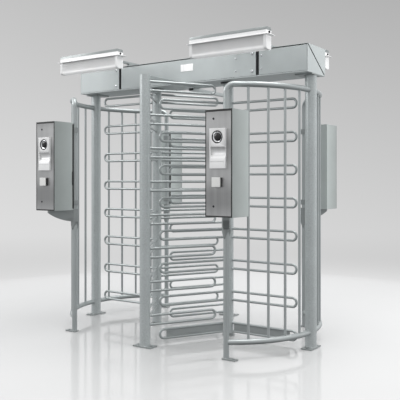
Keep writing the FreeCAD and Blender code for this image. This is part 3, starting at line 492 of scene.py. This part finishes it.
def stand_in(bm, node):
    """A mesh made as the finished form of a CAD node."""
    piece = new_piece(node + "_finished", mesh_from(bm, node), frame["nodes"][node]["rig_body"],
                      NODE_SLOT[node])
    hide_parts(node)
    return piece


def smooth_but_creased(mesh):
    for polygon in mesh.polygons:
        polygon.use_smooth = True
    mesh.set_sharp_from_angle(angle=CREASE_FROM)


def welded(node):
    """A copy of a CAD node's mesh with its seams welded."""
    bm = bmesh.new()
    bm.from_mesh(frame["nodes"][node].data)
    bmesh.ops.remove_doubles(bm, verts=bm.verts, dist=SEAM_GAP)
    return bm


def settle_modifiers(piece):
    """Applies the piece's modifiers, so that its mesh is final."""
    bpy.context.view_layer.update()
    depsgraph = bpy.context.evaluated_depsgraph_get()
    final = bpy.data.meshes.new_from_object(piece.evaluated_get(depsgraph))
    piece.modifiers.clear()
    old = piece.data
    piece.data = final
    bpy.data.meshes.remove(old)


def softened(node, edge, segments=2):
    """The CAD node with its sharp edges rounded, standing for it."""
    bm = welded(node)
    bmesh.ops.dissolve_limit(bm, angle_limit=FLAT_WITHIN, verts=bm.verts, edges=bm.edges)
    piece = stand_in(bm, node)
    bevel = piece.modifiers.new("edges", "BEVEL")
    bevel.width = edge
    bevel.segments = segments
    bevel.limit_method = "ANGLE"
    bevel.angle_limit = BEVEL_FROM
    bevel.harden_normals = True
    settle_modifiers(piece)


def solid_boxes(node):
    """Lowest and highest corner of each separate solid in a CAD node."""
    bm = welded(node)
    boxes, seen = [], set()
    for start in bm.verts:
        if start in seen:
            continue
        seen.add(start)
        waiting, places = [start], []
        while waiting:
            vert = waiting.pop()
            places.append(vert.co)
            for edge in vert.link_edges:
                other = edge.other_vert(vert)
                if other not in seen:
                    seen.add(other)
                    waiting.append(other)
        boxes.append((Vector([min(axis) for axis in zip(*places)]),
                      Vector([max(axis) for axis in zip(*places)])))
    bm.free()
    return boxes


def bridged(bm, rings, closed_along=False):
    """Faces between neighbouring rings of vertices; a ring of one vertex is a pole."""
    pairs = list(zip(rings, rings[1:]))
    if closed_along:
        pairs.append((rings[-1], rings[0]))
    for first, second in pairs:
        count = max(len(first), len(second))
        for index in range(count):
            after = (index + 1) % count
            corners = []
            for ring, places in ((first, (index, after)), (second, (after, index))):
                corners += [ring[place] for place in places] if len(ring) > 1 else [ring[0]]
            bm.faces.new(corners)


def hexagonal(angle):
    """Radius of a hexagon of apothem 1 in a direction."""
    sixth = math.pi / 3
    return 1.0 / math.cos((angle + sixth / 2) % sixth - sixth / 2)


def lathe(bm, profile, place, axis, hexagon_from=None, steps=ROUND_STEPS, closed=False):
    """Spins an outline of radius and height about an axis; from one point on it is hexagonal."""
    turn = UP.rotation_difference(Vector(axis)).to_matrix()
    rings = []
    for index, (radius, height) in enumerate(profile):
        if radius == 0.0:
            rings.append([bm.verts.new(Vector(place) + turn @ Vector((0.0, 0.0, height)))])
            continue
        ring = []
        for step in range(steps):
            angle = 2 * math.pi * step / steps
            reach = radius
            if hexagon_from is not None and index >= hexagon_from:
                reach *= hexagonal(angle)
            point = Vector((reach * math.cos(angle), reach * math.sin(angle), height))
            ring.append(bm.verts.new(Vector(place) + turn @ point))
        rings.append(ring)
    bridged(bm, rings, closed)


def saddle_bead(bm, post, post_r, toward, height, leg_r):
    """Weld bead round a leg of radius leg_r where it meets an upright post of radius post_r."""
    side = UP.cross(toward)
    rings = []
    for step in range(BEAD_STEPS):
        angle = 2 * math.pi * step / BEAD_STEPS
        ring = []
        for turn in range(BEAD_SIDES):
            swing = 2 * math.pi * turn / BEAD_SIDES
            radius = leg_r - WELD_PRESS + BEAD_R * math.cos(swing)
            across = radius * math.cos(angle)
            out = math.sqrt(post_r ** 2 - across ** 2) - WELD_PRESS + BEAD_R * math.sin(swing)
            point = post + toward * out + side * across
            point.z = height + radius * math.sin(angle)
            ring.append(bm.verts.new(point))
        rings.append(ring)
    bridged(bm, rings, closed_along=True)


# ---- the frame's posts, wings and combs ----
def centre_of(box):
    return (box[0] + box[1]) / 2


def hairpin_welds(post_node, hairpin_nodes, body, name):
    """Beads where both legs of every hairpin meet their post."""
    low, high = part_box(post_node)
    post = centre_of((low, high))
    post_r = (high.x - low.x) / 2
    bm = bmesh.new()
    for node in hairpin_nodes:
        for box in solid_boxes(node):
            middle = centre_of(box)
            toward = Vector((middle.x - post.x, middle.y - post.y, 0.0)).normalized()
            half = (box[1].z - box[0].z) / 2 - HAIRPIN_R
            for height in (middle.z - half, middle.z + half):
                saddle_bead(bm, post, post_r, toward, height, HAIRPIN_R)
    new_piece(name, mesh_from(bm, name), body, NODE_SLOT[post_node])


def weld_hairpins():
    for side in ("left", "right"):
        wings = ["wing_" + side + "_" + str(number) for number in (1, 2, 3)]
        hairpin_welds("column_" + side, wings, "rotor_" + side, "wing_welds_" + side)
    for end in ("front", "rear"):
        hairpin_welds("comb_post_" + end, ["comb_hairpins_" + end], "frame", "comb_welds_" + end)


def post_feet():
    """Centre and radius of each post that stands on a base plate."""
    feet = []
    for node in ("support_post_left", "support_post_right", "comb_post_front", "comb_post_rear"):
        low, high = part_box(node)
        feet.append((centre_of((low, high)), (high.x - low.x) / 2))
    for quarter in QUARTERS:
        low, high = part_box("guide_frame_" + quarter)
        x = low.x + GUIDE_R if "right" in quarter else high.x - GUIDE_R
        y = low.y + GUIDE_R if "front" in quarter else high.y - GUIDE_R
        feet.append((Vector((x, y, 0.0)), GUIDE_R))
    return feet


def weld_feet():
    """Fillets of weld round the foot of every post."""
    plate_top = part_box("base_plates")[1].z
    bm = bmesh.new()
    for centre, radius in post_feet():
        inner = radius - WELD_PRESS
        profile = [(inner, -WELD_PRESS), (inner + FILLET, -WELD_PRESS)]
        profile += [(inner + FILLET * out, FILLET * up) for out, up in FILLET_CURVE]
        lathe(bm, profile, (centre.x, centre.y, plate_top), UP, closed=True)
    new_piece("foot_welds", mesh_from(bm, "foot_welds"), "frame", "plate_paint")


def soften_metalwork():
    for node in ("beam_hood", "beam_tray", "beam_cover_left", "beam_cover_centre",
                 "beam_cover_right", "reader_faceplates"):
        softened(node, SHEET_EDGE)
    for node in ("base_plates", "support_top_flanges", "comb_tie_arms", "kick_plates_right",
                 "lamp_arms", "nameplate_blank", "floor_bearings", "beam_bearings",
                 "lamp_housings_front", "lamp_housings_rear"):
        softened(node, PLATE_EDGE)
    for quarter in QUARTERS:
        softened("reader_housing_" + quarter, SHEET_EDGE)


def ease_bearing_bores():
    """Opens the bearings' bores a hair, so that the facets of a turned shaft stay clear of them."""
    for vert in bpy.data.objects["beam_bearings_finished"].data.vertices:
        from_shaft = Vector((vert.co.x - math.copysign(ROTOR_X, vert.co.x), vert.co.y, 0.0))
        if from_shaft.length < SHAFT_R + HAIR:
            vert.co += from_shaft.normalized() * HAIR


# ---- screws ----
def screw_head(bm, centre, front, surface_y, radius):
    """Button head with a hexagon socket; front is -1 or +1 along Y, the way it faces."""
    proud = abs(abs(front) - surface_y)
    facing = Vector((0.0, math.copysign(1.0, front), 0.0))
    profile = [(radius * out, proud * up) for out, up in SCREW_PROFILE]
    place = Vector((centre.x, math.copysign(surface_y - WELD_PRESS, front), centre.z))
    lathe(bm, profile, place, facing, hexagon_from=SOCKET_FROM)


def make_screw_heads():
    """Hexagon-socket heads in place of the plain discs: bright on the beam, dark on the readers."""
    beam_y = -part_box("beam_cover_centre")[0].y
    reader_y = -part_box("reader_faceplates")[0].y
    bright, dark = bmesh.new(), bmesh.new()
    for low, high in solid_boxes("cover_screws"):
        front = low.y if low.y < 0 else high.y
        on_reader = abs(front) > reader_y
        screw_head(dark if on_reader else bright, centre_of((low, high)), front,
                   reader_y if on_reader else beam_y, (high.x - low.x) / 2)
    stand_in(bright, "cover_screws")
    new_piece("reader_screws", mesh_from(dark, "reader_screws"), "frame", "bearing_iron")


# ---- readers ----
def reader_fronts():
    """For each reader: its housing box, and the way its faceplate faces along Y."""
    for quarter in QUARTERS:
        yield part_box("reader_housing_" + quarter), (-1.0 if "front" in quarter else 1.0)


def on_housing(housing, plate):
    """Whether a faceplate is the one on this housing."""
    middle, (low, high) = centre_of(plate), housing
    return low.x < middle.x < high.x and (middle.y < 0) == (low.y < 0)


def frame_ring(bm, outer, inner, y_front, y_back):
    """Flat rectangular ring in the XZ plane between two depths."""
    loops = []
    for (x0, z0, x1, z1), y in ((outer, y_back), (outer, y_front), (inner, y_front), (inner, y_back)):
        corners = ((x0, z0), (x1, z0), (x1, z1), (x0, z1))
        loops.append([bm.verts.new((x, y, z)) for x, z in corners])
    bridged(bm, loops, closed_along=True)


def make_gaskets():
    """Black rubber trim over the joint between each faceplate and its housing: a dark joint, and
    painted shadow where it laps widest over the plate's top and not at all over its left.
    """
    plates = solid_boxes("reader_faceplates")
    left_lap, foot_lap, right_lap, top_lap = GASKET_AND_SHADOW_LAPS
    bm = bmesh.new()
    for housing, facing in reader_fronts():
        low, high = housing
        plate_low, plate_high = next(plate for plate in plates if on_housing(housing, plate))
        # painted shadow: the laps are widest over the top of the plate
        sides = (left_lap, right_lap) if facing < 0 else (right_lap, left_lap)
        outer = (low.x + GASKET_IN, low.z + GASKET_IN, high.x - GASKET_IN, high.z - GASKET_IN)
        inner = (plate_low.x + sides[0], plate_low.z + foot_lap,
                 plate_high.x - sides[1], plate_high.z - top_lap)
        front = low.y if facing < 0 else high.y
        frame_ring(bm, outer, inner, front + facing * GASKET_PROUD, front - facing * GASKET_BACK)
    bmesh.ops.recalc_face_normals(bm, faces=bm.faces)
    new_piece("reader_gaskets", mesh_from(bm, "reader_gaskets"), "frame", "bezel_black")


def make_lenses():
    """Dark dish and glass dome with a chrome ring between, in each ticket module."""
    dishes, rings = bmesh.new(), bmesh.new()
    for low, high in solid_boxes("module_lenses"):
        middle, radius = centre_of((low, high)), (high.x - low.x) / 2
        facing = Vector((0.0, math.copysign(1.0, middle.y), 0.0))
        depth = high.y - low.y
        back = low.y if facing.y > 0 else high.y
        place = Vector((middle.x, back, middle.z))
        rim = depth * LENS_RIM
        for bm, profile in ((dishes, DISH_PROFILE), (rings, RING_PROFILE)):
            lathe(bm, [(radius * out, rim * up) for out, up in profile], place, facing)
        dome_r, floor = radius * DOME_SHARE, rim * DISH_FLOOR
        dome = [(dome_r, floor)]
        for step in range(1, DOME_STEPS):
            angle = math.pi / 2 * step / DOME_STEPS
            dome.append((dome_r * math.cos(angle), floor + (depth - floor) * math.sin(angle)))
        lathe(dishes, dome + [(0.0, depth)], place, facing)
    stand_in(dishes, "module_lenses")
    new_piece("lens_rings", mesh_from(rings, "lens_rings"), "frame", "screw_zinc")


def make_chute_liners():
    """Satin metal sheet in the scoop of each ticket module."""
    half = math.acos(SCOOP_OUT / SCOOP_R)
    bm = bmesh.new()
    for low, high in solid_boxes("ticket_modules"):
        middle = centre_of((low, high))
        facing = math.copysign(1.0, middle.y)
        face = low.y if facing < 0 else high.y
        half_w = (high.x - low.x) / 2
        left = middle.x + facing * (half_w - SCOOP_IN - HAIR)
        right = middle.x - facing * (half_w - MODULE_ROUND)
        rings = []
        for step in range(LINER_STEPS + 1):
            angle = half * (1 - 2 * LINER_SHARE * step / LINER_STEPS)
            ring = []
            for x, radius in ((left, SCOOP_R - HAIR), (right, SCOOP_R - HAIR),
                              (right, SCOOP_R - LINER_T), (left, SCOOP_R - LINER_T)):
                y = face + facing * (SCOOP_OUT - radius * math.cos(angle))
                ring.append(bm.verts.new((x, y, middle.z - SCOOP_DOWN + radius * math.sin(angle))))
            rings.append(ring)
        bridged(bm, rings)
        bm.faces.new(rings[0])
        bm.faces.new(rings[-1])
    bmesh.ops.recalc_face_normals(bm, faces=bm.faces)
    new_piece("chute_liners", mesh_from(bm, "chute_liners"), "frame", "nameplate_silver")


def make_back_seals():
    """A black strip down the back of each housing, on the side that has the post: painted shadow,
    standing in for the shadow in the gap between the housing and the post.
    """
    bm = bmesh.new()
    for (low, high), facing in reader_fronts():
        side, out = (low.x, -1.0) if low.x > 0 else (high.x, 1.0)
        back = high.y if facing < 0 else low.y
        length = high.z - low.z - 2 * SHADOW_STRIP_IN
        rings = []
        for height, thickness in SHADOW_STRIP_SHARES:
            z = low.z + SHADOW_STRIP_IN + length * height
            width, proud = SHADOW_STRIP_W * thickness, SHADOW_STRIP_PROUD * thickness
            section = [(-HAIR, 0.0)]
            section += [(proud * x, width * y) for x, y in SHADOW_STRIP_SECTION]
            section.append((-HAIR, width))
            rings.append([bm.verts.new((side + out * x, back + facing * y, z))
                          for x, y in section])
        bridged(bm, rings)
        bm.faces.new(rings[0])
        bm.faces.new(rings[-1])
    bmesh.ops.recalc_face_normals(bm, faces=bm.faces)
    # painted shadow: a dark strip where the gap to the post lies in shade
    new_piece("reader_back_shadow_strips", mesh_from(bm, "reader_back_shadow_strips"), "frame", "bezel_black")


def finish_readers():
    make_gaskets()
    make_lenses()
    make_chute_liners()
    make_back_seals()
    softened("reader_brackets", PLATE_EDGE)
    for node in ("ticket_modules", "button_bezels"):
        softened(node, PLASTIC_EDGE, 3)
    for quarter in QUARTERS:
        softened("call_button_" + quarter, PLASTIC_EDGE / 2, 3)


# ---- lamps ----
def trough_outline(half_w, low, high):
    """Cross-section of a diffuser from one rim to the other, with round lower corners."""
    points = [(-half_w, high)]
    bend = half_w * DIFFUSER_BEND
    for step in range(BEND_STEPS + 1):
        angle = math.pi / 2 * step / BEND_STEPS
        points.append((-half_w + bend - bend * math.cos(angle), low + bend - bend * math.sin(angle)))
    return points + [(-y, z) for y, z in reversed(points)]


def ribbed(outline, depth):
    """The outline with small prisms along its straight sides and floor, cut inwards."""
    ribs = []
    for (y0, z0), (y1, z1) in zip(outline, outline[1:]):
        length = math.hypot(y1 - y0, z1 - z0)
        count = max(1, round(length / RIB_PITCH))
        inward = Vector((-(z1 - z0), y1 - y0)) / length
        for index in range(count):
            start = index / count
            ribs.append((y0 + (y1 - y0) * start, z0 + (z1 - z0) * start))
            if count > 1:
                middle = (index + 0.5) / count
                ribs.append((y0 + (y1 - y0) * middle + inward.x * depth,
                             z0 + (z1 - z0) * middle + inward.y * depth))
    return ribs + [outline[-1]]


def shell_along_x(bm, outline, x0, x1, centre_y, thick, half_w):
    """The outline pushed along X, with a wall of some thickness inside it."""
    shrink = 1 - thick / half_w
    rings = []
    for x, scale in ((x0, shrink), (x0, 1.0), (x1, 1.0), (x1, shrink)):
        top = outline[0][1]
        rings.append([bm.verts.new((x, centre_y + y * scale, top + (z - top) * scale))
                      for y, z in outline])
    for first, second in zip(rings, rings[1:] + rings[:1]):
        for index in range(len(outline) - 1):
            bm.faces.new((first[index], first[index + 1], second[index + 1], second[index]))


def end_cap(bm, outline, x0, x1, centre_y):
    """Solid end of a diffuser."""
    rings = [[bm.verts.new((x, centre_y + y, z)) for y, z in outline] for x in (x0, x1)]
    bridged(bm, rings)
    for ring in rings:
        bm.faces.new(ring)


def make_diffusers():
    """Ribbed troughs between moulded end caps, in place of the plain ones."""
    troughs, caps = bmesh.new(), bmesh.new()
    for low, high in solid_boxes("lamp_diffusers"):
        centre_y, half_w = (low.y + high.y) / 2, (high.y - low.y) / 2
        outline = trough_outline(half_w - HAIR, low.z + HAIR, high.z)
        x0, x1 = low.x + CAP_L, high.x - CAP_L
        shell_along_x(troughs, ribbed(outline, RIB_DEPTH), x0, x1, centre_y, DIFFUSER_T, half_w)
        for start, end in ((low.x, x0), (x1, high.x)):
            end_cap(caps, outline, start + HAIR, end - HAIR, centre_y)
    for bm in (troughs, caps):
        bmesh.ops.recalc_face_normals(bm, faces=bm.faces)
    stand_in(troughs, "lamp_diffusers")
    new_piece("lamp_end_caps", mesh_from(caps, "lamp_end_caps"), "frame", "lamp_white")


def cut_at(mesh, height, keep_upper):
    """A copy of a mesh with only what lies above, or below, a height."""
    bm = bmesh.new()
    bm.from_mesh(mesh)
    bmesh.ops.bisect_plane(bm, geom=list(bm.verts) + list(bm.edges) + list(bm.faces),
                           plane_co=(0.0, 0.0, height), plane_no=UP,
                           clear_inner=keep_upper, clear_outer=not keep_upper)
    return bm


def make_lamp_lids():
    """The sloping top of each lamp cut from the white housing and given grey paint, as painted shade
    on the slope.
    """
    for row in ("front", "rear"):
        housing = bpy.data.objects["lamp_housings_" + row + "_finished"]
        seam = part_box("lamp_housings_" + row)[1].z - SHADED_TOP_H
        name = "lamp_shaded_tops_" + row
        # painted shade: the sloping top takes the darker grey plate paint
        new_piece(name, mesh_from(cut_at(housing.data, seam, True), name), "frame", "plate_paint")
        cut_at(housing.data, seam, False).to_mesh(housing.data)


def make_lamp_sockets():
    """Dark power socket in both ends of each lamp housing."""
    bm = bmesh.new()
    for node in ("lamp_housings_front", "lamp_housings_rear"):
        for low, high in solid_boxes(node):
            for x, out in ((low.x + FLANGE_END, -1.0), (high.x - FLANGE_END, 1.0)):
                place = Vector((x, (low.y + high.y) / 2, high.z - SOCKET_DROP))
                before = set(bm.verts)
                profile = [(SOCKET_R, -HAIR)]
                profile += [(SOCKET_R * wide, SOCKET_L * far) for wide, far in SOCKET_PROFILE]
                lathe(bm, profile, place, (out, 0.0, 0.0), steps=SOCKET_STEPS)
                for vert in set(bm.verts) - before:
                    vert.co.z = place.z + (vert.co.z - place.z) * SOCKET_TALL
    new_piece("lamp_sockets", mesh_from(bm, "lamp_sockets"), "frame", "bezel_black")


# ---- studio ----
def studio_material():
    """Pale paper: palest round the object; further out, and where it rises into the wall, it glows as
    painted light, with painted shade up and to the right.
    """
    s = Shader(bpy.data.materials.new("studio_paper"))
    reach = s.spread(s.from_axis(), *WHOLE, (FLOOR_R, GLOW_R), eased=True)
    s.give("Base Color", s.ramp(reach, grey(FLOOR_GREY), grey(PAPER_GREY), WHOLE))
    s.give("Specular IOR Level",
           s.spread(s.from_axis(), FLOOR_SPECULAR, 0.0, (FLOOR_R, SHINE_R), eased=True))
    s.give("Roughness", s.spread(s.noise(FLOOR_CLOUDS, 2.0), *FLOOR_ROUGH))
    # painted shade on the glowing paper, darker up and to the right
    right_and_up = Vector((math.cos(CAMERA_TURN), math.sin(CAMERA_TURN), PAPER_SHADE_RISE))
    paper_shade = s.spread(s.along(right_and_up), *WHOLE, PAPER_SHADE_SPAN)
    depth = s.spread(s.along(AWAY), *WHOLE, (-STAGE_R, STAGE_R))
    s.give("Emission Color", s.times(s.ramp(paper_shade, WHITE, grey(PAPER_SHADE_GREY), WHOLE),
                                     s.ramp(depth, grey(WALL_NEAR), grey(WALL_FAR), WHOLE)))
    s.give("Emission Strength", reach)
    return s.owner


def make_studio():
    """A round floor that curves up into a wall on every side; it doesn't light the object."""
    outline = [(0.0, 0.0), (STAGE_R, 0.0)]
    for step in range(1, ROUND_STEPS // 2 + 1):
        angle = math.pi * step / ROUND_STEPS
        outline.append((STAGE_R + STAGE_CURVE_R * math.sin(angle),
                        STAGE_CURVE_R - STAGE_CURVE_R * math.cos(angle)))
    outline.append((STAGE_R + STAGE_CURVE_R, STAGE_H))
    bm = bmesh.new()
    lathe(bm, outline, (0.0, 0.0, 0.0), UP, steps=2 * ROUND_STEPS)
    mesh = mesh_from(bm, "studio_floor")
    smooth_but_creased(mesh)
    mesh.materials.append(studio_material())
    floor = bpy.data.objects.new("studio_floor", mesh)
    bpy.context.scene.collection.objects.link(floor)
    floor.visible_diffuse = False
    floor.visible_glossy = False


def area_light(name, place, size, power, mirrored):
    """A soft sheet of light; one that isn't mirrored leaves no patch on the shiny floor."""
    lamp = bpy.data.lights.new(name, "AREA")
    lamp.shape = "RECTANGLE"
    lamp.size, lamp.size_y = size
    lamp.energy = power
    holder = bpy.data.objects.new(name, lamp)
    holder.location = place
    aim = Vector(LIGHT_AIM) - Vector(place)
    holder.rotation_euler = aim.to_track_quat("-Z", "Y").to_euler()
    holder.visible_glossy = mirrored
    bpy.context.scene.collection.objects.link(holder)


def make_air():
    """Light from all round: white from above, less from the sides and little from below."""
    world = bpy.data.worlds.new("studio_air")
    bpy.context.scene.world = world
    s = Shader(world, "Background", "Generated")
    height = s.spread(s.along(UP), *WHOLE, (-1.0, 1.0))
    s.give("Color", s.ramp(height, shade(AIR_TINT, AIR_BELOW), WHITE, WHOLE,
                           middle=shade(AIR_TINT, AIR_SIDES)))
    s.give("Strength", s.spread(s.along(AWAY), AIR_NEAR, AIR_FAR, (-1.0, 1.0)))


def make_camera():
    camera = bpy.data.cameras.new("camera")
    camera.lens = CAMERA_LENS
    camera.sensor_width = CAMERA_SENSOR
    camera.shift_y = CAMERA_SHIFT_Y
    holder = bpy.data.objects.new("camera", camera)
    holder.location = CAMERA_PLACE
    holder.rotation_euler = (math.pi / 2, 0.0, CAMERA_TURN)
    bpy.context.scene.collection.objects.link(holder)
    bpy.context.scene.camera = holder


bpy.context.scene.view_settings.view_transform = "Standard"
finishes = make_finishes()
for name, node in frame["nodes"].items():
    node.data.materials.clear()
    node.data.materials.append(finishes[NODE_SLOT[name]])
soften_metalwork()
ease_bearing_bores()
weld_hairpins()
weld_feet()
make_screw_heads()
finish_readers()
make_diffusers()
make_lamp_lids()
make_lamp_sockets()
make_studio()
for light in LIGHTS:
    area_light(*light)
make_air()
make_camera()
